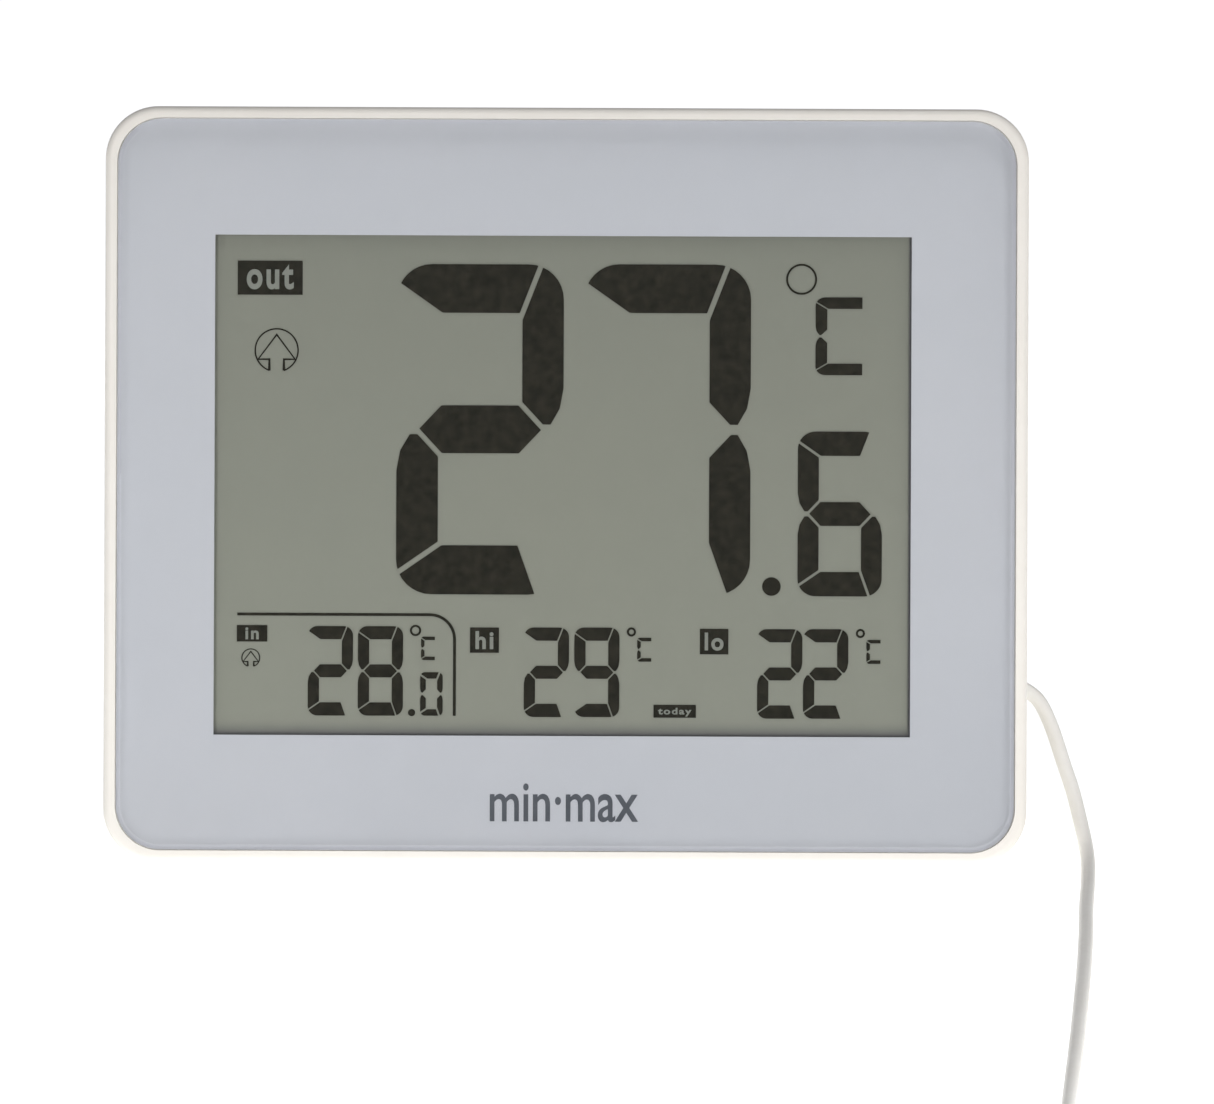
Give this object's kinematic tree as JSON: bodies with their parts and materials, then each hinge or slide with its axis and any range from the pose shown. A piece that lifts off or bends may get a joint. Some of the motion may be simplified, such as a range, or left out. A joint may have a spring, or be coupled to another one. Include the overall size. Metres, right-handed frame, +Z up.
{
  "type": "maximum minimum thermometer",
  "caption": "Digital indoor and outdoor maximum minimum thermometer in a flat case on a fold-out leg, with a wired outdoor probe on a coiled lead.",
  "frame": {"origin": "on the desk, under the middle of the standing case with its leg opened (the free lead left out)", "axes": "+Z up, the display faces -Y and leans back 16 degrees, +X towards the side that the probe lead leaves on, which is the viewer's right"},
  "size_m": [0.1184, 0.1902, 0.0882],
  "materials": {
    "clear_acrylic": "clear polished acrylic",
    "white_print": "pale grey printed border",
    "tape": "white adhesive foam",
    "casing_white": "satin warm white ABS",
    "display_glass": "clear",
    "display_film": "green grey reflective film",
    "natural_plastic": "natural",
    "contact_rubber": "layered conductive rubber",
    "board_green": "green solder mask",
    "black_epoxy": "cured epoxy",
    "plated_steel": "nickel plated",
    "switch_black": "moulded",
    "battery_sleeve": "plain dark sleeve, no marks",
    "lead_white": "soft white PVC",
    "wire_red": "PVC insulation",
    "wire_black": "PVC insulation",
    "tie_grey": "soft band"
  },
  "bodies": {
    "case": {"front_lens": "clear_acrylic", "lens_mask": "white_print", "lens_tape": "tape", "front_shell": "casing_white", "display_polariser": "display_film", "display_cell": "display_glass", "display_reflector": "display_film", "display_holder": "natural_plastic", "display_contact_strip": "contact_rubber", "circuit_board": "board_green", "controller_blob": "black_epoxy", "clock_crystal": "plated_steel", "room_sensor": "black_epoxy", "memory_switch": "switch_black", "clear_switch": "switch_black", "unit_switch": "switch_black", "rear_cover": "casing_white", "battery_upper": "battery_sleeve", "battery_lower": "battery_sleeve", "contact_positive": "plated_steel", "contact_negative": "plated_steel", "contact_link": "plated_steel", "spring_negative": "plated_steel", "spring_link": "plated_steel", "battery_wire_red": "wire_red", "battery_wire_black": "wire_black", "case_screw_1": "plated_steel", "case_screw_2": "plated_steel", "case_screw_3": "plated_steel", "case_screw_4": "plated_steel", "board_screw_1": "plated_steel", "board_screw_2": "plated_steel", "board_screw_3": "plated_steel", "board_screw_4": "plated_steel", "cable_grommet": "lead_white", "probe_lead_inner": "lead_white", "probe_lead": "lead_white", "probe_lead_coil": "lead_white", "probe_lead_tail": "lead_white", "coil_tie": "tie_grey", "probe_capsule": "casing_white"},
    "leg": {"stand_leg": "casing_white"},
    "door": {"battery_door": "casing_white"},
    "memory_key": {"memory_button": "casing_white"},
    "clear_key": {"clear_button": "casing_white"},
    "unit_key": {"unit_button": "casing_white"}
  },
  "joints": [
    {"name": "leg_fold", "type": "hinge", "parent": "case", "child": "leg", "pos_m": [0, 0.00659, 0.03676], "axis": [-1, 0, 0], "range_deg": [0, 39.2]},
    {"name": "door_swing", "type": "hinge", "parent": "case", "child": "door", "pos_m": [0, 0.00941, 0.04042], "axis": [-1, 0, 0], "range_deg": [0, 80]},
    {"name": "memory_press", "type": "slide", "parent": "case", "child": "memory_key", "axis": [0, -0.9613, 0.2756], "range_m": [0, 0.0005], "stiffness_N_per_m": 300},
    {"name": "clear_press", "type": "slide", "parent": "case", "child": "clear_key", "axis": [0, -0.9613, 0.2756], "range_m": [0, 0.0005], "stiffness_N_per_m": 300},
    {"name": "unit_press", "type": "slide", "parent": "case", "child": "unit_key", "axis": [0, -0.9613, 0.2756], "range_m": [0, 0.0005], "stiffness_N_per_m": 300}
  ]
}
